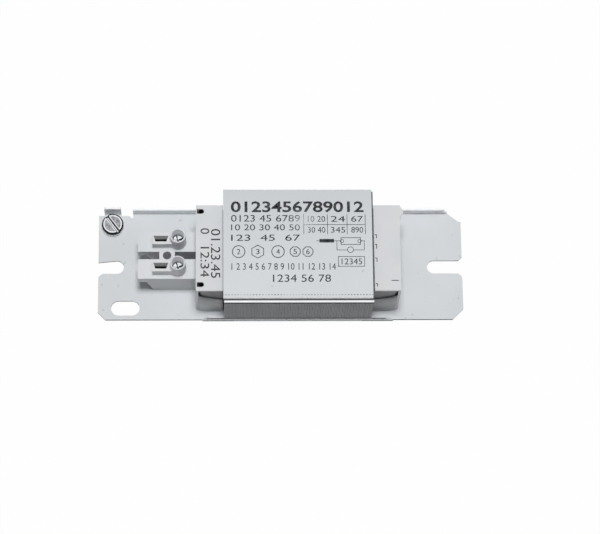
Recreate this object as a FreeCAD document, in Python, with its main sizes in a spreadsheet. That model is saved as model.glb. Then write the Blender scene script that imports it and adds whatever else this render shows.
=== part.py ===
# Magnetic ballast for a fluorescent lamp: a laminated choke on a long steel base plate,
# with a two-way screw terminal block at one end. All lengths are in millimetres.
# The origin is on the plate's underside, at half its length and in the core's middle
# plane: X runs along the plate, away from the terminals, Y points to the back flange
# and Z is up.
import FreeCAD, Part
import math
import os
import Sketcher
from FreeCAD import Vector

os.makedirs("parts", exist_ok=True)
doc = FreeCAD.newDocument("lamp_ballast")
sheet = doc.addObject("Spreadsheet::Sheet", "sizes")
bodies = []


class Size:
    """A length with its value and the formula that the document keeps for it."""

    def __init__(self, value, formula):
        self.value = value
        self.formula = formula

    def __add__(self, other):
        other = as_size(other)
        return Size(self.value + other.value, f"({self.formula} + {other.formula})")

    def __sub__(self, other):
        other = as_size(other)
        return Size(self.value - other.value, f"({self.formula} - {other.formula})")

    def __mul__(self, other):
        other = as_size(other)
        return Size(self.value * other.value, f"({self.formula} * {other.formula})")

    def __truediv__(self, other):
        other = as_size(other)
        return Size(self.value / other.value, f"({self.formula} / {other.formula})")

    def __neg__(self):
        return Size(-self.value, f"(0 - {self.formula})")

    def __radd__(self, other):
        return as_size(other) + self

    def __rsub__(self, other):
        return as_size(other) - self

    def __rmul__(self, other):
        return as_size(other) * self


def as_size(number):
    """Let a plain number take part in a formula."""
    if isinstance(number, Size):
        return number
    return Size(float(number), f"({float(number)})")


def dimension(name, value):
    """Write a driving dimension into the next row of the sheet."""
    row = dimension.rows = dimension.rows + 1
    sheet.set(f"A{row}", name)
    sheet.set(f"B{row}", str(value))
    sheet.setAlias(f"B{row}", name)
    return Size(value, f"sizes.{name}")


dimension.rows = 0

# Clearances between pieces that are put together by hand, and by a press.
hand_fit = dimension("hand_fit", 0.2)
close_fit = dimension("close_fit", 0.05)

# Laminated core. The lower stack carries the coil, the upper one closes it.
core_left = dimension("core_left", -21.05)
core_length = dimension("core_length", 54.1)
core_width = dimension("core_width", 41.5)
lower_height = dimension("lower_height", 20.9)
leg_width = dimension("leg_width", 5.5)
upper_height = dimension("upper_height", 4.6)
spacer_thickness = dimension("spacer_thickness", 1.0)
spacer_inset = dimension("spacer_inset", 0.6)
lamination_pitch = dimension("lamination_pitch", 1.0)
lamination_gap = dimension("lamination_gap", 0.16)
lamination_depth = dimension("lamination_depth", 0.12)

# Folded cover over the upper stack.
cover_sheet = dimension("cover_sheet", 0.8)
cover_lip = dimension("cover_lip", 2.2)
cover_overhang = dimension("cover_overhang", 0.3)
cover_setback = dimension("cover_setback", 0.5)
cover_bend = dimension("cover_bend", 0.35)

# Base plate with its flanges, notches, slot and earth lug.
plate_length = dimension("plate_length", 135.0)
plate_sheet = dimension("plate_sheet", 0.7)
plate_bend = dimension("plate_bend", 0.6)
blank_front_inset = dimension("blank_front_inset", 0.35)
blank_back_inset = dimension("blank_back_inset", 0.55)
left_cut = dimension("left_cut", 2.8)
right_cut = dimension("right_cut", 4.1)
right_shoulder = dimension("right_shoulder", 0.9)
right_shoulder_drop = dimension("right_shoulder_drop", 2.4)
notch_width = dimension("notch_width", 5.0)
left_notch_depth = dimension("left_notch_depth", 9.4)
right_notch_depth = dimension("right_notch_depth", 13.1)
mouth_cut = dimension("mouth_cut", 1.4)
mouth_taper = dimension("mouth_taper", 0.8)
fixing_slot_length = dimension("fixing_slot_length", 10.5)
fixing_slot_width = dimension("fixing_slot_width", 5.6)
fixing_slot_from_end = dimension("fixing_slot_from_end", 10.1)
fixing_slot_from_front = dimension("fixing_slot_from_front", 4.5)
back_flange_height = dimension("back_flange_height", 4.6)
back_flange_from_left = dimension("back_flange_from_left", 12.7)
back_flange_from_right = dimension("back_flange_from_right", 4.9)
back_flange_rake = dimension("back_flange_rake", 2.0)
relief_width = dimension("relief_width", 0.6)
relief_depth = dimension("relief_depth", 0.9)
front_flange_height = dimension("front_flange_height", 3.7)
front_flange_left_margin = dimension("front_flange_left_margin", 5.95)
front_flange_left_run = dimension("front_flange_left_run", 2.0)
front_flange_right_margin = dimension("front_flange_right_margin", 4.75)
front_flange_right_run = dimension("front_flange_right_run", 3.5)
lug_width = dimension("lug_width", 6.2)
lug_from_left = dimension("lug_from_left", 2.1)
lug_height = dimension("lug_height", 6.2)
lug_cut = dimension("lug_cut", 0.5)

# Earth screw and washer beside the lug.
earth_from_left = dimension("earth_from_left", 5.2)
earth_from_back = dimension("earth_from_back", 5.65)
earth_shank = dimension("earth_shank", 2.0)
earth_head = dimension("earth_head", 4.0)
earth_head_height = dimension("earth_head_height", 2.3)
earth_head_edge = dimension("earth_head_edge", 0.5)
earth_end_chamfer = dimension("earth_end_chamfer", 0.3)
earth_slot_width = dimension("earth_slot_width", 1.2)
earth_slot_depth = dimension("earth_slot_depth", 1.2)
earth_slot_turn = dimension("earth_slot_turn", -54.7)
washer_radius = dimension("washer_radius", 4.1)
washer_thickness = dimension("washer_thickness", 0.8)

# Coil former and winding around the centre leg.
former_wall = dimension("former_wall", 0.8)
former_reach = dimension("former_reach", 7.2)
former_corner = dimension("former_corner", 4.0)
winding_inset = dimension("winding_inset", 0.7)
liner_thickness = dimension("liner_thickness", 0.2)

# Covers of the two coil ends that stand out of the core.
left_reach = dimension("left_reach", 10.25)
right_reach = dimension("right_reach", 9.95)
core_gap = dimension("core_gap", 0.5)
lid_gap = dimension("lid_gap", 0.4)
cap_inset = dimension("cap_inset", 4.4)
cap_rise = dimension("cap_rise", 1.6)
cap_wall = dimension("cap_wall", 0.9)
tape_thickness = dimension("tape_thickness", 0.7)
tape_corner = dimension("tape_corner", 1.6)
tray_wall = dimension("tray_wall", 0.9)
tray_floor = dimension("tray_floor", 1.0)
tray_rim_low = dimension("tray_rim_low", 12.4)
tray_rim_high = dimension("tray_rim_high", 18.3)
tray_rim_radius = dimension("tray_rim_radius", 18.0)
tray_taper = dimension("tray_taper", 0.6)
tray_taper_run = dimension("tray_taper_run", 3.4)
clip_slot_length = dimension("clip_slot_length", 2.6)
clip_slot_width = dimension("clip_slot_width", 1.8)
clip_slot_inset = dimension("clip_slot_inset", 2.35)
clip_slot_from_end = dimension("clip_slot_from_end", 0.4)
clip_depth = dimension("clip_depth", 7.0)
ear_reach = dimension("ear_reach", 1.3)
ear_width = dimension("ear_width", 4.8)
ear_tip_from_side = dimension("ear_tip_from_side", 2.0)
ear_tip_width = dimension("ear_tip_width", 1.2)
hook_from_core = dimension("hook_from_core", 0.3)
hook_reach = dimension("hook_reach", 0.8)
hook_stroke = dimension("hook_stroke", 0.3)
hook_depth = dimension("hook_depth", 0.5)
step_from_side = dimension("step_from_side", 3.85)
step_from_end = dimension("step_from_end", 0.8)
step_length = dimension("step_length", 2.7)

# Terminal block: two halves joined by a bridge.
block_length = dimension("block_length", 21.2)
block_top = dimension("block_top", 13.6)
block_width = dimension("block_width", 17.9)
block_gap = dimension("block_gap", 2.9)
block_offset = dimension("block_offset", 0.3)
lip_length = dimension("lip_length", 3.15)
lip_thickness = dimension("lip_thickness", 3.9)
nose_rake = dimension("nose_rake", 2.33)
foot_length = dimension("foot_length", 2.3)
foot_height = dimension("foot_height", 0.5)
terminal_pitch = dimension("terminal_pitch", 10.4)
tower_from_wall = dimension("tower_from_wall", 6.5)
tower_top = dimension("tower_top", 20.8)
tower_radius = dimension("tower_radius", 2.8)
tower_flare = dimension("tower_flare", 0.2)
tower_rim = dimension("tower_rim", 0.2)
tower_bore = dimension("tower_bore", 2.3)
bore_floor = dimension("bore_floor", 11.0)
housing_top = dimension("housing_top", 17.5)
housing_width = dimension("housing_width", 4.3)
housing_length = dimension("housing_length", 9.3)
window_length = dimension("window_length", 5.4)
window_width = dimension("window_width", 2.2)
window_slant = dimension("window_slant", 0.7)
window_from_tower = dimension("window_from_tower", 3.5)
bridge_length = dimension("bridge_length", 5.7)
bridge_from_wall = dimension("bridge_from_wall", 7.65)
bridge_hole = dimension("bridge_hole", 1.55)
bridge_underside = dimension("bridge_underside", 5.0)
cavity_width = dimension("cavity_width", 5.0)
cavity_floor = dimension("cavity_floor", 2.6)
cavity_height = dimension("cavity_height", 6.6)
cavity_end_wall = dimension("cavity_end_wall", 2.0)

# Screw clamps inside the block, and the coil's leads.
cage_length = dimension("cage_length", 7.0)
cage_wall = dimension("cage_wall", 0.8)
cage_top_wall = dimension("cage_top_wall", 1.2)
lead_radius = dimension("lead_radius", 0.4)
lead_bend = dimension("lead_bend", 1.5)
lead_inset = dimension("lead_inset", 4.6)
pressure_plate_thickness = dimension("pressure_plate_thickness", 0.8)
screw_shank = dimension("screw_shank", 1.5)
screw_head = dimension("screw_head", 2.05)
screw_head_height = dimension("screw_head_height", 2.0)
screw_sunk = dimension("screw_sunk", 4.9)
screw_edge = dimension("screw_edge", 0.4)
screw_end_chamfer = dimension("screw_end_chamfer", 0.3)
screw_slot_width = dimension("screw_slot_width", 0.6)
screw_slot_depth = dimension("screw_slot_depth", 1.0)
screw_cross_length = dimension("screw_cross_length", 2.4)
screw_cross_depth = dimension("screw_cross_depth", 1.3)

# How far a cutter starts or ends past the surface that it cuts, and the least change
# of a solid that counts as one.
past = as_size(1)
zero = as_size(0)
least_change = 1e-4

# Places that follow from the driving dimensions.
core_right = core_left + core_length
core_half = core_width / 2
core_bottom = plate_sheet
yoke_top = core_bottom + leg_width
split_level = core_bottom + lower_height
upper_bottom = split_level + spacer_thickness
upper_top = upper_bottom + upper_height
upper_half = core_half - cover_sheet - close_fit
window_outer = core_half - leg_width
cover_top = upper_top + cover_sheet
lip_bottom = cover_top - cover_lip
rim_top = lip_bottom - close_fit

plate_left = -plate_length / 2
plate_right = plate_length / 2
flange_inner = core_half + hand_fit
plate_back = flange_inner + plate_sheet
plate_front = -core_half
blank_front = plate_front + blank_front_inset
blank_back = core_half - blank_back_inset

cap_height = split_level + cap_rise
cap_half = core_half - cap_inset
cap_underside = cap_height - cap_wall
clip_slot_y = cap_half - clip_slot_inset
tape_half = cap_half - close_fit * 3
tray_inner = tape_half + close_fit
tray_half = tray_inner + tray_wall
tray_top = plate_sheet + tray_floor

block_right = core_left - left_reach - close_fit
block_left = block_right - block_length
block_half = block_width / 2
lip_underside = block_top - lip_thickness
tower_x = block_right - tower_from_wall
cavity_right = block_right - cavity_end_wall
cavity_top = cavity_floor + cavity_height
cage_right = cavity_right - hand_fit
cage_left = cage_right - cage_length
cage_half = cavity_width / 2 - hand_fit
cage_top = cavity_top - hand_fit
lead_level = cavity_floor + cage_wall + lead_radius
lead_hole = lead_radius + hand_fit
former_bottom = yoke_top + hand_fit
former_top = split_level - close_fit * 2
winding_bottom = former_bottom + former_wall


def place_after(body, name, role, base):
    """Start a sketch on one of the body's origin planes, moved out to a base level."""
    sketch = body.newObject("Sketcher::SketchObject", name)
    planes = [item for item in body.Origin.OriginFeatures if item.Role == role]
    sketch.AttachmentSupport = [(planes[0], "")]
    sketch.MapMode = "FlatFace"
    shift = -base if role == "XZ_Plane" else base
    sketch.setExpression("AttachmentOffset.Base.z", shift.formula)
    return sketch


def pin(sketch, kind, edge, end, size):
    """Hold a point of an edge at a distance from the sketch's origin."""
    index = sketch.addConstraint(Sketcher.Constraint(kind, -1, 1, edge, end, size.value))
    sketch.setExpression(f"Constraints[{index}]", size.formula)


def add_arc(sketch, start, end, radius):
    """Add an arc that turns left for a positive radius and right for a negative one."""
    chord = end - start
    reach = math.sqrt(max(radius.value ** 2 - chord.Length ** 2 / 4, 0.0))
    side = Vector(-chord.y, chord.x, 0).normalize() * math.copysign(reach, radius.value)
    centre = start + chord * 0.5 + side
    first, last = (start, end) if radius.value > 0 else (end, start)
    angles = [math.atan2(point.y - centre.y, point.x - centre.x) for point in (first, last)]
    circle = Part.Circle(centre, Vector(0, 0, 1), abs(radius.value))
    edge = sketch.addGeometry(Part.ArcOfCircle(circle, angles[0], angles[1]))
    size = radius if radius.value > 0 else -radius
    index = sketch.addConstraint(Sketcher.Constraint("Radius", edge, size.value))
    sketch.setExpression(f"Constraints[{index}]", size.formula)
    return (edge, 1, 2) if radius.value > 0 else (edge, 2, 1)


def draw(sketch, corners, closed=True):
    """Draw an outline. A corner is (x, y), or (x, y, radius) where an arc leaves it."""
    corners = [tuple(as_size(number) for number in corner) for corner in corners]
    points = [Vector(corner[0].value, corner[1].value, 0) for corner in corners]
    edges = []
    for index in range(len(corners) if closed else len(corners) - 1):
        start = points[index]
        end = points[(index + 1) % len(points)]
        if len(corners[index]) == 3:
            edges.append(add_arc(sketch, start, end, corners[index][2]))
        else:
            edges.append((sketch.addGeometry(Part.LineSegment(start, end)), 1, 2))
    for index, (edge, first, last) in enumerate(edges):
        pin(sketch, "DistanceX", edge, first, corners[index][0])
        pin(sketch, "DistanceY", edge, first, corners[index][1])
        if index > 0:
            before = edges[index - 1]
            sketch.addConstraint(Sketcher.Constraint("Coincident", before[0], before[2], edge, first))
    if closed:
        sketch.addConstraint(
            Sketcher.Constraint("Coincident", edges[-1][0], edges[-1][2], edges[0][0], edges[0][1]))
    else:
        pin(sketch, "DistanceX", edges[-1][0], edges[-1][2], corners[-1][0])
        pin(sketch, "DistanceY", edges[-1][0], edges[-1][2], corners[-1][1])


def draw_circle(sketch, x, y, radius):
    """Draw a circle with its centre and radius held."""
    centre = Vector(as_size(x).value, as_size(y).value, 0)
    edge = sketch.addGeometry(Part.Circle(centre, Vector(0, 0, 1), radius.value))
    pin(sketch, "DistanceX", edge, 3, as_size(x))
    pin(sketch, "DistanceY", edge, 3, as_size(y))
    index = sketch.addConstraint(Sketcher.Constraint("Radius", edge, radius.value))
    sketch.setExpression(f"Constraints[{index}]", radius.formula)


def rectangle(x0, x1, y0, y1):
    return [(x0, y0), (x1, y0), (x1, y1), (x0, y1)]


def rounded(x0, x1, y0, y1, radius):
    """A rectangle with four round corners, drawn counter-clockwise."""
    return [
        (x0 + radius, y0), (x1 - radius, y0, radius),
        (x1, y0 + radius), (x1, y1 - radius, radius),
        (x1 - radius, y1), (x0 + radius, y1, radius),
        (x0, y1 - radius), (x0, y0 + radius, radius),
    ]


def slot(x0, x1, y, radius):
    """A slot between two round ends, whose outer points are at x0 and x1."""
    return [
        (x0 + radius, y - radius), (x1 - radius, y - radius, radius),
        (x1, y, radius), (x1 - radius, y + radius),
        (x0 + radius, y + radius, radius), (x0, y, radius),
    ]


def new_body(label):
    body = doc.addObject("PartDesign::Body", label)
    body.Label = label
    bodies.append(body)
    return body


def sketch_for(body, name, role, base, outlines, circles):
    sketch = place_after(body, name + "_sketch", role, as_size(base))
    for outline in outlines:
        draw(sketch, outline)
    for x, y, radius in circles:
        draw_circle(sketch, x, y, radius)
    return sketch


def pad(body, name, role, base, length, outlines=(), circles=()):
    """Grow a solid from a base level, along the positive axis that the plane faces."""
    before = body.Shape.Volume if body.Tip else 0.0
    sketch = sketch_for(body, name, role, base, outlines, circles)
    feature = body.newObject("PartDesign::Pad", name)
    feature.Profile = sketch
    feature.Reversed = role == "XZ_Plane"
    feature.setExpression("Length", as_size(length).formula)
    doc.recompute()
    assert body.Shape.Volume > before + least_change, f"{name} adds nothing"
    return feature


def cut(body, name, role, base, length, outlines=(), circles=()):
    """Remove material from a base level, along the positive axis that the plane faces."""
    before = body.Shape.Volume
    sketch = sketch_for(body, name, role, base, outlines, circles)
    feature = body.newObject("PartDesign::Pocket", name)
    feature.Profile = sketch
    feature.Reversed = role != "XZ_Plane"
    feature.setExpression("Length", as_size(length).formula)
    doc.recompute()
    assert body.Shape.Volume < before - least_change, f"{name} cuts nothing"
    return feature


def turn(body, name, outline, axis_x=0, base=0):
    """Revolve a half profile in the XZ plane about an upright axis."""
    before = body.Shape.Volume if body.Tip else 0.0
    axis_x = as_size(axis_x)
    sketch = sketch_for(body, name, "XZ_Plane", base, [outline], [])
    line = Part.LineSegment(Vector(axis_x.value, 0, 0), Vector(axis_x.value, cover_top.value, 0))
    axis = sketch.addGeometry(line, True)
    for end, height in ((1, zero), (2, cover_top)):
        pin(sketch, "DistanceX", axis, end, axis_x)
        pin(sketch, "DistanceY", axis, end, height)
    feature = body.newObject("PartDesign::Revolution", name)
    feature.Profile = sketch
    feature.ReferenceAxis = (sketch, ["Axis0"])
    feature.Angle = 360
    doc.recompute()
    assert body.Shape.Volume > before + least_change, f"{name} adds nothing"
    return feature


def round_edges(body, name, radius, wanted):
    """Round the edges of the body's last feature whose ends all pass a test."""
    base = body.Tip
    names = []
    for index, edge in enumerate(base.Shape.Edges, start=1):
        if all(wanted(vertex.Point) for vertex in edge.Vertexes):
            names.append(f"Edge{index}")
    assert names, f"{name} finds no edge"
    feature = body.newObject("PartDesign::Fillet", name)
    feature.Base = (base, names)
    feature.setExpression("Radius", radius.formula)
    doc.recompute()
    return feature


def near(number, size):
    return abs(number - size.value) < least_change


def make_base_plate():
    """One folded and punched sheet, with a flange along each side of the core."""
    body = new_body("base_plate")
    flange_left = plate_left + back_flange_from_left
    flange_right = plate_right - back_flange_from_right
    lug_left = plate_left + lug_from_left
    lug_right = lug_left + lug_width
    relief_floor = blank_back - relief_depth
    shoulder_y = blank_back - right_shoulder_drop
    outline = [
        (plate_left + left_cut, blank_front),
        (plate_right - right_cut, blank_front),
        (plate_right, blank_front + right_cut),
        (plate_right, shoulder_y),
        (plate_right - right_shoulder, shoulder_y),
        (flange_right, flange_inner),
        (flange_left, flange_inner),
        (flange_left, relief_floor),
        (flange_left - relief_width, relief_floor),
        (flange_left - relief_width - relief_depth, blank_back),
        (lug_right, blank_back),
        (lug_right, flange_inner),
        (lug_left, flange_inner),
        (lug_left, blank_back),
        (plate_left, blank_back),
        (plate_left, blank_front + left_cut),
    ]
    pad(body, "plate_blank", "XY_Plane", 0, plate_sheet, [outline])

    back_flange = [
        (flange_left, 0), (flange_right, 0),
        (flange_right - back_flange_rake, back_flange_height),
        (flange_left, back_flange_height),
    ]
    pad(body, "back_flange", "XZ_Plane", flange_inner, plate_sheet, [back_flange])

    lug = [
        (lug_left, 0), (lug_right, 0),
        (lug_right, lug_height - lug_cut), (lug_right - lug_cut, lug_height),
        (lug_left + lug_cut, lug_height), (lug_left, lug_height - lug_cut),
    ]
    pad(body, "earth_lug", "XZ_Plane", flange_inner, plate_sheet, [lug])

    top_left = core_left - front_flange_left_margin
    top_right = core_right + front_flange_right_margin
    foot_left = top_left - front_flange_left_run
    foot_right = top_right + front_flange_right_run
    front_flange = [
        (foot_left, 0), (foot_right, 0), (foot_right, plate_sheet),
        (top_right, front_flange_height), (top_left, front_flange_height),
        (foot_left, plate_sheet),
    ]
    pad(body, "front_flange", "XZ_Plane", plate_front, plate_sheet, [front_flange])

    half = notch_width / 2
    left_centre = plate_left + left_notch_depth - half
    left_notch = [
        (plate_left - past, half - mouth_taper), (left_centre, half, -half),
        (left_centre + half, 0, -half), (left_centre, -half),
        (plate_left + mouth_cut, -half), (plate_left, -half - mouth_cut),
        (plate_left - past, -half - mouth_cut),
    ]
    right_centre = plate_right - right_notch_depth + half
    right_notch = [
        (plate_right + past, half + mouth_cut), (plate_right, half + mouth_cut),
        (plate_right - mouth_cut, half), (right_centre, half, half),
        (right_centre - half, 0, half), (right_centre, -half),
        (plate_right - mouth_cut, -half), (plate_right, -half - mouth_cut),
        (plate_right + past, -half - mouth_cut),
    ]
    slot_x = plate_left + fixing_slot_from_end
    fixing_slot = slot(
        slot_x - fixing_slot_length / 2, slot_x + fixing_slot_length / 2,
        blank_front + fixing_slot_from_front, fixing_slot_width / 2)
    openings = [left_notch, right_notch, fixing_slot]
    earth_hole = (plate_left + earth_from_left, plate_back - earth_from_back,
                  earth_shank + close_fit)
    cut(body, "fixing_openings", "XY_Plane", 0, plate_sheet, openings, [earth_hole])

    round_edges(body, "bends", plate_bend,
                lambda point: near(point.y, plate_back) and near(point.z, zero))


def make_core():
    """Lower stack with three legs, upper stack, and the air gap's sheet between them."""
    body = new_body("core_lower_stack")
    step = core_half - plate_sheet - close_fit
    front_step = front_flange_height + close_fit
    centre_half = leg_width
    profile = [
        (-step, core_bottom), (core_half, core_bottom), (core_half, split_level),
        (window_outer, split_level), (window_outer, yoke_top),
        (centre_half, yoke_top), (centre_half, split_level),
        (-centre_half, split_level), (-centre_half, yoke_top),
        (-window_outer, yoke_top), (-window_outer, split_level),
        (-core_half, split_level), (-core_half, front_step), (-step, front_step),
    ]
    pad(body, "lower_laminations", "YZ_Plane", core_left, core_length, [profile])
    first = core_left + lamination_pitch
    gaps = []
    for y in (-core_half, core_half):
        gaps.append(rectangle(first, first + lamination_gap, y - lamination_depth, y + lamination_depth))
    groove = cut(body, "lamination_gap_cut", "XY_Plane", core_bottom, lower_height, gaps)
    repeat_along_core(body, groove)

    body = new_body("air_gap_spacer")
    spacer_half = core_half - spacer_inset
    pad(body, "spacer", "XY_Plane", split_level, spacer_thickness,
        [rectangle(core_left, core_right, -spacer_half, spacer_half)])

    body = new_body("core_upper_stack")
    profile = [
        (-core_half, upper_bottom), (core_half, upper_bottom),
        (core_half, rim_top), (upper_half, rim_top), (upper_half, upper_top),
        (-upper_half, upper_top), (-upper_half, rim_top), (-core_half, rim_top),
    ]
    pad(body, "upper_laminations", "YZ_Plane", core_left, core_length, [profile])


def repeat_along_core(body, groove):
    """Repeat the gap between two laminations over the whole stack."""
    count = int(core_length.value / lamination_pitch.value) - 1
    pattern = body.newObject("PartDesign::LinearPattern", groove.Name + "_row")
    pattern.Originals = [groove]
    pattern.Direction = (groove.Profile[0], ["H_Axis"])
    pattern.Occurrences = count
    pattern.setExpression("Length", (lamination_pitch * (count - 1)).formula)
    body.Tip = pattern
    doc.recompute()


def make_cover():
    """Folded steel cover with a short lip over each side of the upper stack."""
    body = new_body("top_cover")
    inner = core_half - cover_sheet
    profile = [
        (-core_half, lip_bottom), (-inner, lip_bottom), (-inner, upper_top),
        (inner, upper_top), (inner, lip_bottom), (core_half, lip_bottom),
        (core_half, cover_top - cover_bend, cover_bend), (core_half - cover_bend, cover_top),
        (-core_half + cover_bend, cover_top, cover_bend), (-core_half, cover_top - cover_bend),
    ]
    pad(body, "cover", "YZ_Plane", core_left - cover_overhang,
        core_length + cover_overhang - cover_setback, [profile])


def make_coil():
    """Former, copper winding and slot liners around the centre leg."""
    bore_x0 = core_left - hand_fit
    bore_x1 = core_right + hand_fit
    bore_y = leg_width + hand_fit
    flange_y = window_outer - hand_fit - liner_thickness
    bore = rectangle(bore_x0, bore_x1, -bore_y, bore_y)
    flange = rounded(core_left - former_reach, core_right + former_reach, -flange_y, flange_y, former_corner)
    sleeve = rectangle(bore_x0 - former_wall, bore_x1 + former_wall,
                       -bore_y - former_wall, bore_y + former_wall)
    body = new_body("coil_former")
    pad(body, "lower_flange", "XY_Plane", former_bottom, former_wall, [flange, bore])
    pad(body, "sleeve", "XY_Plane", former_bottom, former_top - former_bottom, [sleeve, bore])
    pad(body, "upper_flange", "XY_Plane", former_top - former_wall, former_wall, [flange, bore])
    lead_x = core_left - lead_inset
    holes = [(lead_x, block_offset + side * terminal_pitch / 2, lead_hole) for side in (-1, 1)]
    cut(body, "lead_holes", "XY_Plane", former_bottom - past, former_wall + past, [], holes)

    reach = former_reach - winding_inset
    half = flange_y - winding_inset
    inner = rectangle(bore_x0 - former_wall - close_fit, bore_x1 + former_wall + close_fit,
                      -bore_y - former_wall - close_fit, bore_y + former_wall + close_fit)
    outer = rounded(core_left - reach, core_right + reach, -half, half, former_corner - winding_inset)
    body = new_body("coil_winding")
    pad(body, "winding", "XY_Plane", winding_bottom,
        former_top - former_wall - winding_bottom, [outer, inner])

    for name, side in (("front", -1), ("back", 1)):
        near_side = side * (window_outer - close_fit)
        far_side = side * (window_outer - close_fit - liner_thickness)
        body = new_body(f"window_liner_{name}")
        pad(body, f"liner_{name}", "XY_Plane", yoke_top, lower_height - leg_width,
            [rectangle(core_left - hand_fit, core_right + hand_fit, near_side, far_side)])


def outward(side):
    """Give the X of a point at some distance beyond the core's left or right end."""
    def place(distance):
        if side < 0:
            return core_left - distance
        return core_right + distance
    return place


def make_end_tape(name, side, reach):
    """Dark tape bent round a coil end, open towards the core."""
    x = outward(side)
    bend = tape_corner * (-side)
    inner = tape_half - tape_thickness
    tip = reach - cap_wall - close_fit
    outline = [
        (x(core_gap), -tape_half), (x(core_gap), -inner), (x(tip - tape_thickness), -inner),
        (x(tip - tape_thickness), inner), (x(core_gap), inner), (x(core_gap), tape_half),
        (x(tip - tape_corner), tape_half, bend), (x(tip), tape_half - tape_corner),
        (x(tip), -tape_half + tape_corner, bend), (x(tip - tape_corner), -tape_half),
    ]
    body = new_body(f"end_tape_{name}")
    pad(body, f"tape_{name}", "XY_Plane", tray_top, cap_underside - tray_top, [outline])
    if side < 0:
        reliefs = [clip_slot(x, reach, row * clip_slot_y, hand_fit) for row in (-1, 1)]
        cut(body, "clip_reliefs", "XY_Plane", cap_underside - clip_depth, clip_depth, reliefs)
        cut_lead_holes(body, "tape_lead_holes", x(tip) - past, tape_thickness + past * 2)


def clip_slot(x, reach, y, margin):
    """A slot beside the cap's end, square towards the end and round towards the core."""
    radius = clip_slot_width / 2 + margin
    start = reach - clip_slot_from_end + margin
    finish = reach - clip_slot_from_end - clip_slot_length - margin
    return [
        (x(start), y - radius), (x(finish + radius), y - radius, radius),
        (x(finish), y, radius), (x(finish + radius), y + radius), (x(start), y + radius),
    ]


def cut_lead_holes(body, name, base, length):
    """Holes along X for the coil's two leads."""
    holes = [(block_offset + side * terminal_pitch / 2, lead_level, lead_hole) for side in (-1, 1)]
    cut(body, name, "YZ_Plane", base, length, [], holes)


def make_end_tray(name, side, reach):
    """Tray under a coil end: a floor and two side walls whose rims rise outwards."""
    x = outward(side)
    tip = reach - cap_wall - close_fit
    taper_radius = (tray_taper_run * tray_taper_run + tray_taper * tray_taper) / (tray_taper * 2)
    bend = taper_radius * (-side)
    body = new_body(f"end_tray_{name}")
    floor = [
        (x(core_gap), -tray_half), (x(core_gap), tray_half),
        (x(tip - tray_taper_run), tray_half, bend), (x(tip), tray_half - tray_taper),
        (x(tip), -tray_half + tray_taper, bend), (x(tip - tray_taper_run), -tray_half),
    ]
    pad(body, f"tray_floor_{name}", "XY_Plane", plate_sheet, tray_floor, [floor])
    walls = []
    for row in (-1, 1):
        turn_sign = bend * row
        walls.append([
            (x(core_gap), row * tray_inner), (x(core_gap), row * tray_half),
            (x(tip - tray_taper_run), row * tray_half, turn_sign),
            (x(tip), row * (tray_half - tray_taper)), (x(tip), row * tray_inner),
        ])
    pad(body, f"tray_walls_{name}", "XY_Plane", tray_top, tray_rim_high - tray_top, walls)
    above_rim = [
        (x(core_gap - past), tray_rim_low), (x(core_gap), tray_rim_low, tray_rim_radius * side),
        (x(tip + past), tray_rim_high), (x(tip + past), tray_rim_high + past),
        (x(core_gap - past), tray_rim_high + past),
    ]
    cut(body, f"tray_rim_{name}", "XZ_Plane", -tray_half - past, (tray_half + past) * 2, [above_rim])


def make_end_cap(name, side, reach, outline):
    """Moulded cap over a coil end: a lid, and an end wall that stands on the plate."""
    x = outward(side)
    body = new_body(f"end_cap_{name}")
    pad(body, f"lid_{name}", "XY_Plane", cap_underside, cap_wall, [outline])
    wall = rectangle(x(reach - cap_wall), x(reach), -cap_half, cap_half)
    pad(body, f"end_wall_{name}", "XY_Plane", plate_sheet, cap_height - plate_sheet, [wall])
    return body


def make_end_caps():
    x = outward(-1)
    lid = rectangle(x(lid_gap), x(left_reach), -cap_half, cap_half)
    body = make_end_cap("left", -1, left_reach, lid)
    slots = [clip_slot(x, left_reach, row * clip_slot_y, zero) for row in (-1, 1)]
    cut(body, "clip_slots", "XY_Plane", cap_underside - past, cap_wall + past, slots)
    cut_lead_holes(body, "cap_lead_holes", x(left_reach) - past, cap_wall + past * 2)

    x = outward(1)
    end = right_reach
    tip_back = cap_half - ear_tip_from_side
    lid = [
        (x(lid_gap), -cap_half), (x(end), -cap_half), (x(end), cap_half - ear_width),
        (x(end + ear_reach), tip_back - ear_tip_width), (x(end + ear_reach), tip_back),
        (x(end), cap_half), (x(lid_gap), cap_half),
    ]
    body = make_end_cap("right", 1, right_reach, lid)
    marks = [hook(x, y, length) for y, length in ((5.1, 1.4), (1.4, 1.8), (-3.8, 1.6), (-13.6, 1.2))]
    step_y = step_from_side - cap_half
    marks.append(rectangle(x(end - step_from_end - step_length), x(end - step_from_end),
                           step_y - hook_stroke / 2, step_y + hook_stroke / 2))
    cut(body, "lid_marks", "XY_Plane", cap_height - hook_depth, hook_depth, marks)


def hook(x, top, length):
    """A narrow angle-shaped mark beside the core: a stroke outwards and one to the front."""
    start = hook_from_core + lid_gap
    corner = start + hook_reach
    return [
        (x(start), top - hook_stroke), (x(corner - hook_stroke), top - hook_stroke),
        (x(corner - hook_stroke), top - length), (x(corner), top - length),
        (x(corner), top), (x(start), top),
    ]


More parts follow.
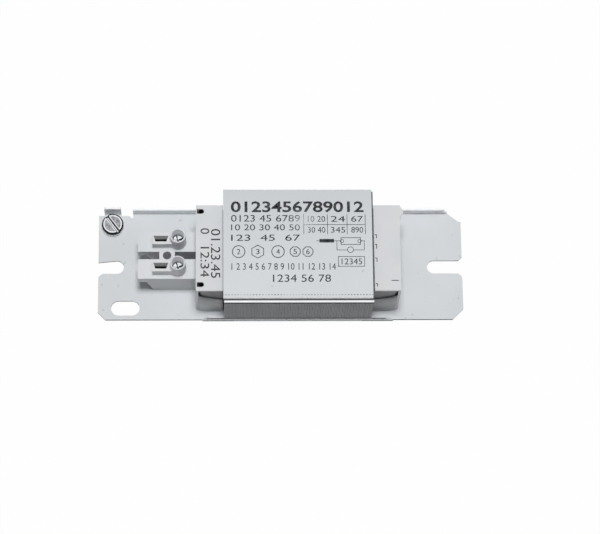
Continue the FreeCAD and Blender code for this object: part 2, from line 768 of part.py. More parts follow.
def make_terminal_block():
    """Moulded block: two halves with an overhanging lip, raised housings and screw towers."""
    body = new_body("terminal_block")
    nose = block_left + lip_length
    foot = nose + nose_rake
    side_profile = [
        (block_left, lip_underside), (nose, lip_underside),
        (foot, plate_sheet + foot_height), (foot + foot_length, plate_sheet + foot_height),
        (foot + foot_length, plate_sheet), (block_right, plate_sheet),
        (block_right, block_top), (block_left, block_top),
    ]
    half_width = (block_width - block_gap) / 2
    pad(body, "front_half", "XZ_Plane", block_offset - block_half, half_width, [side_profile])
    bridge_right = block_right - bridge_from_wall
    bridge_left = bridge_right - bridge_length
    pad(body, "bridge", "XY_Plane", bridge_underside, block_top - bridge_underside,
        [rectangle(bridge_left, bridge_right, block_offset - block_gap, block_offset + block_gap)])
    pad(body, "back_half", "XZ_Plane", block_offset + block_gap / 2, half_width, [side_profile])
    rows = [block_offset + side * terminal_pitch / 2 for side in (-1, 1)]

    housings = []
    for y in rows:
        housings.append(rectangle(tower_x - housing_length, tower_x,
                                  y - housing_width / 2, y + housing_width / 2))
    pad(body, "housings", "XY_Plane", block_top, housing_top - block_top, housings)
    for index, y in enumerate(rows):
        tower = [
            (tower_x, block_top), (tower_x + tower_radius + tower_flare, block_top),
            (tower_x + tower_radius, tower_top - tower_rim),
            (tower_x + tower_radius - tower_rim, tower_top), (tower_x, tower_top),
        ]
        turn(body, f"tower_{index}", tower, tower_x, y)

    cavities = [rectangle(y - cavity_width / 2, y + cavity_width / 2, cavity_floor, cavity_top) for y in rows]
    cut(body, "wire_cavities", "YZ_Plane", block_left, cavity_right - block_left, cavities)
    cut(body, "tower_bores", "XY_Plane", bore_floor, tower_top - bore_floor + past, [],
        [(tower_x, y, tower_bore) for y in rows])
    cut(body, "shank_holes", "XY_Plane", cavity_top - past, bore_floor - cavity_top + past * 2, [],
        [(tower_x, y, screw_shank + hand_fit) for y in rows])
    windows = []
    window_right = tower_x - window_from_tower
    window_left = window_right - window_length
    for y in rows:
        front = y - window_width / 2
        back = y + window_width / 2
        windows.append([
            (window_left + window_slant, front), (window_right - window_slant, front),
            (window_right, back), (window_left, back),
        ])
    cut(body, "windows", "XY_Plane", cavity_top - past, housing_top - cavity_top + past * 2, windows)
    cut(body, "bridge_hole", "XY_Plane", bridge_underside - past,
        block_top - bridge_underside + past * 2, [],
        [((bridge_left + bridge_right) / 2, block_offset, bridge_hole)])
    cut_lead_holes(body, "block_lead_holes", cavity_right - past, cavity_end_wall + past * 2)


def make_terminal(name, side):
    """Screw clamp of one terminal: cage, pressure plate, screw and the coil's lead."""
    row = block_offset + side * terminal_pitch / 2
    pieces = []

    cage = new_body(f"clamp_cage_{name}")
    shell = rectangle(-cage_half, cage_half, cavity_floor, cage_top)
    hollow = rectangle(-cage_half + cage_wall, cage_half - cage_wall,
                       cavity_floor + cage_wall, cage_top - cage_top_wall)
    pad(cage, f"cage_{name}", "YZ_Plane", cage_left, cage_length, [shell, hollow])
    cut(cage, f"cage_thread_{name}", "XY_Plane", cage_top - cage_top_wall, cage_top_wall, [],
        [(tower_x, 0, screw_shank + close_fit)])
    pieces.append(cage)

    plate_bottom = lead_level + lead_radius + close_fit
    plate_top = plate_bottom + pressure_plate_thickness
    plate = new_body(f"pressure_plate_{name}")
    plate_half = cage_half - cage_wall - hand_fit
    pad(plate, f"plate_{name}", "XY_Plane", plate_bottom, pressure_plate_thickness,
        [rectangle(cage_left + hand_fit, cage_right - hand_fit, -plate_half, plate_half)])
    pieces.append(plate)

    head_top = tower_top - screw_sunk
    head_bottom = head_top - screw_head_height
    screw = new_body(f"terminal_screw_{name}")
    profile = [
        (0, plate_top), (screw_shank - screw_end_chamfer, plate_top),
        (screw_shank, plate_top + screw_end_chamfer), (screw_shank, head_bottom),
        (screw_head, head_bottom), (screw_head, head_top - screw_edge),
        (screw_head - screw_edge, head_top), (0, head_top),
    ]
    turn(screw, f"screw_{name}", profile)
    slot_half = screw_slot_width / 2
    cross_half = screw_cross_length / 2
    across = rectangle(-screw_head - past, screw_head + past, -slot_half, slot_half)
    cut(screw, f"screw_slot_{name}", "XY_Plane", head_top - screw_slot_depth, screw_slot_depth, [across])
    along = rectangle(-slot_half, slot_half, -cross_half, cross_half)
    cut(screw, f"screw_cross_{name}", "XY_Plane", head_top - screw_cross_depth, screw_cross_depth, [along])
    screw.setExpression("Placement.Base.x", tower_x.formula)
    pieces.append(screw)

    lead = new_body(f"coil_lead_{name}")
    lead_start = cage_left + hand_fit * 3
    lead_x = core_left - lead_inset
    path = place_after(lead, f"lead_path_{name}", "XZ_Plane", zero)
    draw(path, [
        (lead_start, lead_level), (lead_x - lead_bend, lead_level, lead_bend),
        (lead_x, lead_level + lead_bend), (lead_x, winding_bottom),
    ], closed=False)
    section = sketch_for(lead, f"lead_section_{name}", "YZ_Plane", lead_start, [],
                         [(0, lead_level, lead_radius)])
    pipe = lead.newObject("PartDesign::AdditivePipe", f"lead_{name}")
    pipe.Profile = section
    pipe.Spine = (path, [])
    doc.recompute()
    pieces.append(lead)

    for piece in pieces:
        piece.setExpression("Placement.Base.y", row.formula)
    doc.recompute()


def make_earth_terminal():
    """Earth screw with its washer, clamped to the plate beside the lug."""
    x = plate_left + earth_from_left
    y = plate_back - earth_from_back
    washer = new_body("earth_washer")
    pad(washer, "washer", "XY_Plane", plate_sheet, washer_thickness, [],
        [(0, 0, washer_radius), (0, 0, earth_shank + hand_fit)])

    seat = plate_sheet + washer_thickness
    top = seat + earth_head_height
    screw = new_body("earth_screw")
    profile = [
        (0, close_fit), (earth_shank - earth_end_chamfer, close_fit),
        (earth_shank, close_fit + earth_end_chamfer), (earth_shank, seat), (earth_head, seat),
        (earth_head, top - earth_head_edge), (earth_head - earth_head_edge, top), (0, top),
    ]
    turn(screw, "earth_screw_blank", profile)
    across = rectangle(-earth_head - past, earth_head + past,
                       -earth_slot_width / 2, earth_slot_width / 2)
    cut(screw, "earth_slot", "XY_Plane", top - earth_slot_depth, earth_slot_depth, [across])
    screw.setExpression("Placement.Rotation.Angle", earth_slot_turn.formula)
    for piece in (washer, screw):
        piece.setExpression("Placement.Base.x", x.formula)
        piece.setExpression("Placement.Base.y", y.formula)
    doc.recompute()


def check_and_export():
    """Stop on any failed feature, then write one file for each sub-part."""
    doc.recompute()
    for item in doc.Objects:
        assert "Invalid" not in item.State and "Error" not in item.State, f"{item.Name} failed"
    for body in bodies:
        shape = body.Shape
        assert not shape.isNull() and shape.isValid(), f"{body.Label} is not a valid shape"
        shape.exportStep(f"parts/{body.Label}.step")
        print(f"{body.Label}: {len(shape.Solids)} solid, {shape.Volume:.1f} cubic mm")


doc.recompute()
make_base_plate()
make_core()
make_cover()
make_coil()
for end_name, end_side, end_reach in (("left", -1, left_reach), ("right", 1, right_reach)):
    make_end_tape(end_name, end_side, end_reach)
    make_end_tray(end_name, end_side, end_reach)
make_end_caps()
make_terminal_block()
for terminal_name, terminal_side in (("front", -1), ("back", 1)):
    make_terminal(terminal_name, terminal_side)
make_earth_terminal()
check_and_export()
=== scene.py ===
# %% [markdown]
# A ballast for a fluorescent lamp: a heavy choke that sits in the lamp fitting and keeps the
# current steady. The shapes of its metal and plastic parts are already fixed by the frame, so this
# lesson gives each part its finish, adds the print, and sets the camera and the light.

# %% Load the frame
import math

import bmesh
import bpy
from mathutils import Matrix, Vector


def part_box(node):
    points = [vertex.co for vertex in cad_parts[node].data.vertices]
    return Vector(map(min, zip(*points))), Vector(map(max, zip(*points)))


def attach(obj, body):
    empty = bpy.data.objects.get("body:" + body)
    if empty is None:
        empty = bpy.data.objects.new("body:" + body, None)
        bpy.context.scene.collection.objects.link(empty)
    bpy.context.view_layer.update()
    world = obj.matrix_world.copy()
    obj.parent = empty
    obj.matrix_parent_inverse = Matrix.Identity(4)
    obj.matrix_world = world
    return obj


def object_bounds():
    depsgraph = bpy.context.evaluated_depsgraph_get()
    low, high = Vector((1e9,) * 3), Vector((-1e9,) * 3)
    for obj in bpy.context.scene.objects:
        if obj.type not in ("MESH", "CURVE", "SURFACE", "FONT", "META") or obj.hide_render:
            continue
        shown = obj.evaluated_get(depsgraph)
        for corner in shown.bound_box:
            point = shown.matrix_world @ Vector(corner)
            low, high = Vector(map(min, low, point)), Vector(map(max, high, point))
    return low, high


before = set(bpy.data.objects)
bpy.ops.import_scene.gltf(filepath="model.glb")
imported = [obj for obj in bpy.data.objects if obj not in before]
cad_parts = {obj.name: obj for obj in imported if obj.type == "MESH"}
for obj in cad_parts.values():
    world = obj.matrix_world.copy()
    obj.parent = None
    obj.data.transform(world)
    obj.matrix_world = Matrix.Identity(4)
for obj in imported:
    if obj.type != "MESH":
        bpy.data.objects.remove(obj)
cad_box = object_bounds()
print("nodes in the frame:", len(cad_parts))

# %% [markdown]
# Everything is in metres. The parts are small, so places are written in millimetres and
# multiplied by one named value.

# %% Millimetres
MM = 0.001
cover_low, cover_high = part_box("top_cover")
cap_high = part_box("end_cap_left")[1]
block_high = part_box("terminal_block")[1]
print("cover top in mm:", round(cover_high.z / MM, 2))

# %% [markdown]
# The camera stands high in front of the part and far away, with a long lens, so upright walls
# show only a little and far edges are hardly smaller than near ones. A camera looks along its own
# minus Z, so its three axes are built from the direction of view and set as a matrix. It stands
# opposite the terminals and is turned a little to the right, with a roll that levels the part.

# %% Camera
FRAME_WIDTH = 600
SENSOR = 36.0
FOCAL_PIXELS = 2558.41
DISTANCE = 950.73 * MM
TARGET = Vector((7.224, 0.295, 0.0)) * MM
ELEVATION = math.radians(71.6201)
YAW = math.radians(5.9116)
ROLL = math.radians(5.5525)

flat = math.cos(ELEVATION)
forward = Vector((math.sin(YAW) * flat, math.cos(YAW) * flat, -math.sin(ELEVATION)))
level_right = Vector((math.cos(YAW), -math.sin(YAW), 0.0))
level_up = level_right.cross(forward)
right = level_right * math.cos(ROLL) + level_up * math.sin(ROLL)
up = level_up * math.cos(ROLL) - level_right * math.sin(ROLL)
turn = Matrix((right, up, -forward)).transposed().to_4x4()

camera_data = bpy.data.cameras.new("camera")
camera_data.sensor_width = SENSOR
camera_data.sensor_fit = "HORIZONTAL"
camera_data.lens = FOCAL_PIXELS * SENSOR / FRAME_WIDTH
camera_data.clip_start = 0.01
camera_data.clip_end = 20.0
camera = bpy.data.objects.new("camera", camera_data)
bpy.context.scene.collection.objects.link(camera)
camera.matrix_world = Matrix.Translation(TARGET - forward * DISTANCE) @ turn
bpy.context.scene.camera = camera
print("lens in mm:", round(camera_data.lens, 1))

# %% [markdown]
# A finish is a small graph of nodes. Writing it as arithmetic is easier to read than making and
# linking every node by hand, so one class wraps a socket and turns plus, minus and times into Math
# nodes, and another holds the material and makes any other node.

# %% Sockets with arithmetic
class Value:
    """A number that changes over the surface, carried by a socket."""

    def __init__(self, graph, socket):
        self.graph = graph
        self.socket = socket

    def math(self, operation, first, second=None):
        sockets = {0: first} if second is None else {0: first, 1: second}
        return self.graph.node("Math", {"operation": operation}, sockets)

    def __add__(self, other):
        return self.math("ADD", self, other)

    def __radd__(self, other):
        return self.math("ADD", other, self)

    def __sub__(self, other):
        return self.math("SUBTRACT", self, other)

    def __rsub__(self, other):
        return self.math("SUBTRACT", other, self)

    def __mul__(self, other):
        return self.math("MULTIPLY", self, other)

    def __rmul__(self, other):
        return self.math("MULTIPLY", other, self)

    def __truediv__(self, other):
        return self.math("DIVIDE", self, other)

    def __abs__(self):
        return self.math("ABSOLUTE", self)

    def above(self, edge):
        return self.math("GREATER_THAN", self, edge)

    def below(self, edge):
        return self.math("LESS_THAN", self, edge)

    def largest(self, other):
        return self.math("MAXIMUM", self, other)

    def whole(self):
        return self.math("FLOOR", self)

    def sine(self):
        return self.math("SINE", self)

    def root(self):
        return self.math("SQRT", self)

    def ramp(self, low, high, start=0.0, end=1.0):
        """start below low, end above high, and an even slope between them."""
        sockets = {"Value": self, "From Min": low, "From Max": high, "To Min": start, "To Max": end}
        return self.graph.node("MapRange", {"clamp": True}, sockets)

    def between(self, low, high, soft):
        """1 from low to high and 0 outside, with a soft step at each side."""
        return self.ramp(low - soft, low) * self.ramp(high, high + soft, 1.0, 0.0)


class Graph:
    """The nodes of one material or world."""

    def __init__(self, tree):
        self.tree = tree

    def feed(self, socket, level):
        if isinstance(level, Value):
            self.tree.links.new(level.socket, socket)
        else:
            socket.default_value = level

    def node(self, kind, settings=None, sockets=None, output=0):
        """Any node: its settings first, then its sockets. Gives one output, or the node itself."""
        made = self.tree.nodes.new("ShaderNode" + kind)
        for setting, choice in (settings or {}).items():
            setattr(made, setting, choice)
        for socket, level in (sockets or {}).items():
            self.feed(made.inputs[socket], level)
        return made if output is None else Value(self, made.outputs[output])

    def axes(self, vector):
        """The three numbers of a vector, each as a value."""
        split = self.node("SeparateXYZ", sockets={0: vector}, output=None)
        return [Value(self, output) for output in split.outputs]


# %% [markdown]
# Every material starts from the same few things: where a point lies on the part, and which way its
# face looks. Colours are written as a screen shows them, because they were read from a picture.

# %% Finishes
WHITE = (1.0, 1.0, 1.0, 1.0)
BLACK = (0.0, 0.0, 0.0, 1.0)


def display(red, green, blue):
    """A colour as a screen shows it, from 0 to 255, as the shader's own numbers."""

    def linear(level):
        level = level / 255
        return level / 12.92 if level <= 0.04045 else ((level + 0.055) / 1.055) ** 2.4

    return (linear(red), linear(green), linear(blue), 1.0)


class Finish(Graph):
    """One material, with a Principled shader and whatever nodes feed it."""

    def __init__(self, name, **constants):
        self.material = bpy.data.materials.new(name)
        self.material.use_nodes = True
        super().__init__(self.material.node_tree)
        self.shader = self.tree.nodes["Principled BSDF"]
        for socket, level in constants.items():
            self.shader.inputs[socket.replace("_", " ")].default_value = level
        self.coordinates = self.node("TexCoord", output="Object")
        self.x, self.y, self.z = self.axes(self.coordinates)
        facing = self.node("NewGeometry", output="Normal")
        self.facing_x, self.facing_y, self.facing_z = self.axes(facing)

    def noise(self, size, detail=3.0, rough=0.5, where=None):
        """Cloudy noise between 0 and 1, whose clouds are about size across."""
        sockets = {"Vector": where or self.coordinates, "Scale": 1.0 / size}
        sockets.update({"Detail": detail, "Roughness": rough})
        return self.node("TexNoise", sockets=sockets)

    def stretched(self, along_x, along_y, along_z):
        """Coordinates drawn out, so that a pattern becomes streaks."""
        sockets = {"Vector": self.coordinates, "Scale": (along_x, along_y, along_z)}
        return self.node("Mapping", sockets=sockets)

    def mix(self, factor, first, second):
        return self.node("Mix", {"data_type": "RGBA"}, {0: factor, 6: first, 7: second}, 2)

    def bump(self, height, distance, strength=1.0):
        return self.node("Bump", sockets={"Strength": strength, "Distance": distance, "Height": height})

    def set(self, **links):
        for socket, level in links.items():
            self.feed(self.shader.inputs[socket.replace("_", " ")], level)

    def dress(self, *nodes):
        for name in nodes:
            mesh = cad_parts[name].data
            mesh.materials.clear()
            mesh.materials.append(self.material)


print("a screen grey of 128 is", round(display(128, 128, 128)[0], 3))

# %% [markdown]
# The base plate and the cover are thin steel sheet with a pale, even coating. Close up, such a
# sheet is never quite one colour: it has broad cloudy patches, a fine grain and a few small
# specks, and its gloss changes a little with them.

# %% Coated sheet steel
def coated_steel(name, pale, dull):
    finish = Finish(name, Metallic=0.0, IOR=1.45)
    clouds = finish.noise(26 * MM, 4.0)
    grain = finish.noise(0.7 * MM, 2.0)
    specks = finish.noise(1.9 * MM, 1.0).ramp(0.735, 0.77)
    tone = finish.mix(clouds.ramp(0.3, 0.7) * 0.7 + grain * 0.3, pale, dull)
    finish.colour = finish.mix(specks * 0.35, tone, display(150, 154, 158))
    finish.set(Base_Color=finish.colour)
    finish.set(Roughness=0.40 + 0.14 * clouds + 0.05 * grain)
    finish.set(Normal=finish.bump(grain, 0.012 * MM, 0.35))
    return finish


# %% [markdown]
# The plate's cut edge is dark, partly as bare steel beside a pale coating and partly as painted
# shade. The edge faces level and is lower than the sheet is thick, except where the sheet turns up
# into a flange. A thin strip of the top face along the front edge is painted dark as well, as
# painted shade. The rim of the front flange is painted dark as painted shade, and the walls at the
# back are painted paler than the rest, as painted light.

# %% Base plate
EDGE_TOP = 0.72 * MM
RIM_BOTTOM = 2.9 * MM
core_low, core_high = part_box("core_lower_stack")
plate_finish = coated_steel("coated_plate_steel", display(216, 219, 222), display(205, 209, 212))
flange_span = plate_finish.x.between(core_low.x + 4.0 * MM, core_high.x - 3.5 * MM, 0.3 * MM)
# The cut edge is dark partly as bare steel and partly as painted shade.
cut_edge = plate_finish.z.below(EDGE_TOP) * abs(plate_finish.facing_z).below(0.2) * (1.0 - flange_span)
in_front = plate_finish.y.below(core_low.y + 0.1 * MM)
# The front flange's rim is painted dark: painted shade.
flange_rim_painted_shade = in_front * plate_finish.z.above(RIM_BOTTOM)
# A thin strip of the top face along the front edge is painted dark: painted shade.
front_edge_shade_strip = plate_finish.y.below(core_low.y + 0.45 * MM) * plate_finish.z.below(0.8 * MM)
front_edge_shade_strip = front_edge_shade_strip * plate_finish.facing_z.above(0.6) * (1.0 - flange_span)
bare_steel_and_painted_shade = cut_edge.largest(flange_rim_painted_shade).largest(front_edge_shade_strip)
# The back walls are painted paler than the rest: painted light.
back_wall_painted_light = plate_finish.z.above(1.3 * MM) * plate_finish.y.above(15 * MM)
plate_colour = plate_finish.mix(back_wall_painted_light, plate_finish.colour, display(246, 248, 250))
plate_finish.set(Base_Color=plate_finish.mix(bare_steel_and_painted_shade, plate_colour, display(38, 41, 45)))
plate_finish.dress("base_plate")
print("dressed the base plate")

# %% [markdown]
# The cover is the same sheet. Just behind its front fold the coating shows a faint line of small
# dots, such as a folding tool leaves. A count along X repeats the dots, and cloudy noise leaves
# some of them out. The sheet is a little darker towards the back. The lower part of its lip is
# painted dark, as painted shade.

# %% Cover
FOLD_LINE = cover_low.y + 1.35 * MM
DOT_PITCH = 1.1 * MM
DARK_LIP = 1.7 * MM
cover_finish = coated_steel("coated_cover_steel", display(216, 219, 222), display(208, 212, 215))
dot_count = cover_finish.x / DOT_PITCH
dots = (dot_count - dot_count.whole()).between(0.25, 0.65, 0.15)
pressed = abs(cover_finish.y - FOLD_LINE).ramp(0.10 * MM, 0.26 * MM, 1.0, 0.0)
missed = cover_finish.noise(4 * MM, 2.0).ramp(0.35, 0.6, 0.25, 0.9)
# The sheet is a little darker towards the back.
darker_towards_back = cover_finish.y.ramp(-6 * MM, 20 * MM, 0.0, 0.9)
cover_colour = cover_finish.mix(darker_towards_back, cover_finish.colour, display(202, 205, 208))
cover_colour = cover_finish.mix(dots * pressed * missed, cover_colour, display(118, 122, 126))
# The lower part of the lip is painted dark: painted shade.
lip_painted_shade = cover_finish.z.below(cover_low.z + DARK_LIP) * abs(cover_finish.facing_y).above(0.6)
cover_finish.set(Base_Color=cover_finish.mix(lip_painted_shade, cover_colour, display(24, 27, 31)))
cover_finish.dress("top_cover")
print("dots along the fold:", round((cover_high.x - cover_low.x) / DOT_PITCH))

# %% [markdown]
# The core is a pile of thin electrical steel sheets that stand on edge, so the front shows one
# fine upright line for each sheet. Each sheet takes its own tone from noise that is read at the
# sheet's number, and the joints are darker and a little sunk.

# %% Laminated core
SHEET = 0.5 * MM
FOOT_LOW = 4.2 * MM
FOOT_HIGH = 5.6 * MM


def laminated(name):
    finish = Finish(name, Metallic=0.35, IOR=1.6)
    count = finish.x / SHEET
    sheet_number = count.whole()
    per_sheet = finish.node("TexWhiteNoise", {"noise_dimensions": "1D"}, {"W": sheet_number}, "Value")
    across = count - sheet_number
    joint = 1.0 - abs(across - 0.5).ramp(0.30, 0.5, 0.0, 1.0)
    stain_and_shade = finish.noise(9 * MM, 4.0)
    smear = finish.noise(3 * MM, 3.0, 0.6, finish.stretched(1.0, 1.0, 0.12))
    tone = per_sheet * 0.3 + stain_and_shade * 0.4 + smear * 0.3
    body = finish.mix(tone, display(96, 101, 105), display(130, 134, 137))
    # The foot of the stack, where it meets the plate's flange, is painted darker: painted shade.
    foot_painted_shade = finish.z.ramp(FOOT_LOW, FOOT_HIGH, 0.7, 0.0)
    body = finish.mix(foot_painted_shade, body, display(60, 63, 67))
    finish.set(Base_Color=finish.mix(joint, display(60, 63, 67), body))
    finish.set(Roughness=0.42 + 0.2 * stain_and_shade)
    finish.set(Normal=finish.bump(joint, 0.06 * MM, 0.7))
    return finish


laminated("core_laminations").dress("core_lower_stack")
print("sheet thickness in mm:", SHEET / MM)

# %% [markdown]
# The upper stack closes the core. Its long edges show as one light band, so they are finished as
# bare, smooth metal that mirrors the pale ground. A dark line above the band, under the cover's lip,
# and another below it, at the stack's foot, are painted shade. The stack's ends are dull grey.

# %% Sheared steel edge
sheared = Finish("sheared_steel", Metallic=1.0)
drag = sheared.noise(2.2 * MM, 4.0, 0.6, sheared.stretched(0.3, 1.0, 1.0))
bright = sheared.mix(drag.ramp(0.3, 0.75), display(252, 252, 252), display(222, 225, 228))
stack_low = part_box("core_upper_stack")[0]
on_side = abs(sheared.facing_y).above(0.6)
under_lip = sheared.z.above(cover_low.z - 0.4 * MM)
at_foot = sheared.z.below(stack_low.z + 0.45 * MM)
# The dark lines under the cover's lip and at the stack's foot are painted shade.
painted_shade_lines = under_lip.largest(at_foot) * on_side
side_colour = sheared.mix(painted_shade_lines, bright, display(58, 61, 65))
sheared.set(Base_Color=sheared.mix(on_side, display(128, 132, 136), side_colour))
sheared.set(Roughness=0.5 - 0.43 * on_side + 0.08 * drag)
sheared.set(Normal=sheared.bump(drag, 0.01 * MM, 0.3))
sheared.dress("core_upper_stack")
print("upper stack starts at z", round(stack_low.z / MM, 2))

# %% [markdown]
# The end caps, the trays under them and the terminal block are moulded in a pale, slightly
# glossy plastic. A mould leaves a very fine even texture and hardly any change of colour.

# %% Moulded plastic
def moulded(name, pale, dull, gloss):
    finish = Finish(name, Metallic=0.0, IOR=1.48)
    cloud = finish.noise(14 * MM, 3.0)
    spark = finish.noise(0.28 * MM, 2.0, 0.6)
    finish.colour = finish.mix(cloud.ramp(0.3, 0.7), pale, dull)
    finish.set(Base_Color=finish.colour)
    finish.set(Roughness=gloss + 0.08 * cloud + 0.05 * spark)
    finish.set(Normal=finish.bump(spark, 0.008 * MM, 0.4))
    return finish


moulded("former_plastic", display(205, 207, 209), display(196, 198, 200), 0.45).dress("coil_former")
print("dressed the coil former")

# %% [markdown]
# The terminal block is pale plastic with thin walls, and such walls let some light through. The
# solid here lets none through, and the inside of its two screw wells, two small windows and
# middle hole would be too dark. So a little light is given off there instead, by the distance
# from each well's axis and from each window's middle.

# %% Terminal block
WELL_X = block_high.x - 6.5 * MM
WELL_ROWS = (-4.9 * MM, 5.5 * MM)
WELL_RADIUS = 2.36 * MM
HOLE_X = block_high.x - 10.5 * MM
HOLE_Y = 0.3 * MM
HOLE_RADIUS = 1.62 * MM
WINDOW_MIDDLE = WELL_X - 6.2 * MM
WINDOW_HALF_X = 3.0 * MM
WINDOW_HALF_Y = 1.9 * MM
WINDOW_SHADE = 13.4 * MM
WINDOW_TOP = 17.4 * MM
block = moulded("block_plastic", display(217, 219, 221), display(210, 213, 215), 0.34)


def round_hole(finish, x, y, radius):
    """1 nearer to an upright axis than the radius, and 0 outside."""
    away_x = finish.x - x
    away_y = finish.y - y
    return (away_x * away_x + away_y * away_y).root().below(radius)


glow_inside = round_hole(block, HOLE_X, HOLE_Y, HOLE_RADIUS) * 0.02
# The lower part of each window is painted near black: painted shade.
window_painted_shade = block.z.above(block_high.z)
for row in WELL_ROWS:
    well = round_hole(block, WELL_X, row, WELL_RADIUS) * block.z.below(block_high.z - 0.1 * MM)
    window = abs(block.x - WINDOW_MIDDLE).below(WINDOW_HALF_X)
    window = window * abs(block.y - row).below(WINDOW_HALF_Y)
    window_painted_shade = window_painted_shade.largest(window * block.z.below(WINDOW_SHADE))
    window = window * block.z.between(WINDOW_SHADE, WINDOW_TOP, 0.02 * MM)
    glow_inside = glow_inside.largest(well * 0.13).largest(window * 0.07)
# Faces that look to the front are painted a little darker: painted shade.
body = block.mix(block.facing_y.below(-0.6), block.colour, display(200, 202, 205))
block.set(Base_Color=block.mix(window_painted_shade, body, display(16, 17, 19)))
lit = block.mix(glow_inside, BLACK, WHITE)
block.set(Emission_Color=lit)
block.shader.inputs["Emission Strength"].default_value = 1.0
block.dress("terminal_block")
print("screw wells at x", round(WELL_X / MM, 2))

# %% [markdown]
# The caps are the same plastic. The narrow grooves in the top of the right cap are painted dark,
# as painted shade: what faces up just under the top is dark, and its height tells it from the top.

# %% End caps
caps = moulded("cap_plastic", display(215, 217, 219), display(208, 211, 213), 0.38)
# Painted shade in the grooves under the top.
groove_painted_shade = caps.z.between(cap_high.z - 4.0 * MM, cap_high.z - 0.25 * MM, 0.05 * MM)
caps.set(Base_Color=caps.mix(groove_painted_shade * caps.facing_z.above(0.6), caps.colour, display(62, 64, 67)))
caps.dress("end_cap_left", "end_cap_right")

# %% [markdown]
# The trays hold the ends of the winding. Their walls are painted darker towards the rim than at
# the foot, as painted shade under the caps, with an uneven border that cloudy noise gives. The
# right tray is darker all over.

# %% Trays
tray_low, tray_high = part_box("end_tray_left")
trays = moulded("tray_plastic", display(200, 202, 204), display(188, 191, 193), 0.42)
# The walls are painted darker towards the rim: painted shade under the caps.
shade_border = trays.z + (trays.noise(5 * MM, 3.0) - 0.5) * (5 * MM)
stain_and_shade = shade_border.ramp(tray_low.z + 6 * MM, tray_high.z - 1.5 * MM)
# The right tray is darker all over.
darker_end = trays.x.above(0.0) * 0.35
stain_and_shade = (stain_and_shade * 0.9).largest(darker_end)
trays.set(Base_Color=trays.mix(stain_and_shade, trays.colour, display(122, 125, 128)))
trays.dress("end_tray_left", "end_tray_right")
print("tray height in mm:", round((tray_high.z - tray_low.z) / MM, 1))

# %% [markdown]
# The winding's ends are wrapped in a glossy insulating film, whose dark colour is painted shade
# under the caps. It is pulled tight, so it shows long upright folds that catch the light.

# %% Tape film
tape = Finish("tape_film", Metallic=0.0, IOR=1.5, Coat_Weight=0.1, Coat_Roughness=0.2)
folds = tape.noise(2.5 * MM, 3.0, 0.5, tape.stretched(1.0, 1.0, 0.3))
# The dark colour is painted shade.
tape.set(Base_Color=tape.mix(folds.ramp(0.35, 0.65), display(68, 71, 75), display(92, 95, 98)))
tape.set(Roughness=0.32 + 0.15 * folds)
tape.set(Normal=tape.bump(folds, 0.15 * MM, 0.5))
tape.dress("end_tape_left", "end_tape_right")

# %% [markdown]
# A strip of pressboard keeps the gap in the core, and thin paper lines its windows. The strip's
# mid grey is painted shade in its narrow recess. Paper is dull and shows short crossing fibres.

# %% Paper
def paper(name, pale, dull):
    finish = Finish(name, Metallic=0.0, Roughness=0.85, IOR=1.4)
    fibres = finish.noise(0.6 * MM, 4.0, 0.7, finish.stretched(0.25, 1.0, 1.0))
    cross = finish.noise(0.6 * MM, 4.0, 0.7, finish.stretched(1.0, 0.25, 1.0))
    finish.set(Base_Color=finish.mix((fibres + cross) * 0.5, pale, dull))
    finish.set(Normal=finish.bump(fibres, 0.02 * MM, 0.5))
    return finish


# The spacer's mid grey is painted shade.
paper("spacer_pressboard", display(116, 119, 122), display(92, 95, 98)).dress("air_gap_spacer")
liner = paper("liner_paper", display(214, 208, 196), display(198, 190, 176))
liner.dress("window_liner_front", "window_liner_back")

# %% [markdown]
# The winding is enamelled copper wire in many turns. It lies inside and hardly shows, so it is one
# solid, and its round turns are drawn by a bump that repeats at the wire's thickness.

# %% Copper wire
WIRE = 0.4 * MM
copper = Finish("enamelled_copper", Metallic=0.9, IOR=1.5, Coat_Weight=0.6, Coat_Roughness=0.2)
turns = ((copper.z * (2 * math.pi / WIRE)).sine() + 1.0) * 0.5
shade = copper.noise(4 * MM, 3.0)
copper.set(Base_Color=copper.mix(shade, display(176, 98, 58), display(146, 76, 44)))
copper.set(Roughness=0.28 + 0.15 * shade)
copper.set(Normal=copper.bump(turns, 0.1 * MM, 0.8))
copper.dress("coil_winding")

# %% [markdown]
# Two leads take the winding's ends to the clamps. They are the same wire, a little lighter.

# %% Lead wires
lead = Finish("lead_wire", Metallic=0.9, IOR=1.5, Coat_Weight=0.5, Coat_Roughness=0.2)
lead_shade = lead.noise(2 * MM, 3.0)
lead.set(Base_Color=lead.mix(lead_shade, display(182, 104, 62), display(150, 80, 48)))
lead.set(Roughness=0.3 + 0.12 * lead_shade)
lead.dress("coil_lead_front", "coil_lead_back")
print("wire thickness in mm:", WIRE / MM)

# %% [markdown]
# Screws, washer and clamps are zinc plated steel. Zinc is a bright metal with a slightly milky
# surface, fine turning marks and small dull spots where a tool has touched it.

# %% Zinc plated steel
def zinc(name, pale, dull, gloss):
    finish = Finish(name, Metallic=1.0)
    milk = finish.noise(1.6 * MM, 4.0, 0.6)
    scuff = finish.noise(0.3 * MM, 3.0, 0.6)
    finish.set(Base_Color=finish.mix(milk.ramp(0.35, 0.7), pale, dull))
    finish.set(Roughness=gloss + 0.16 * milk + 0.08 * scuff)
    finish.set(Normal=finish.bump(scuff, 0.02 * MM, 0.5))
    return finish


washer = zinc("zinc_washer", display(248, 250, 251), display(176, 180, 184), 0.4)
washer.shader.inputs["Metallic"].default_value = 0.2
washer.dress("earth_washer")
clamp_zinc = zinc("zinc_clamp", display(196, 199, 202), display(150, 153, 156), 0.3)
clamp_zinc.dress("clamp_cage_front", "clamp_cage_back", "pressure_plate_front", "pressure_plate_back")
print("dressed the washer and clamps")

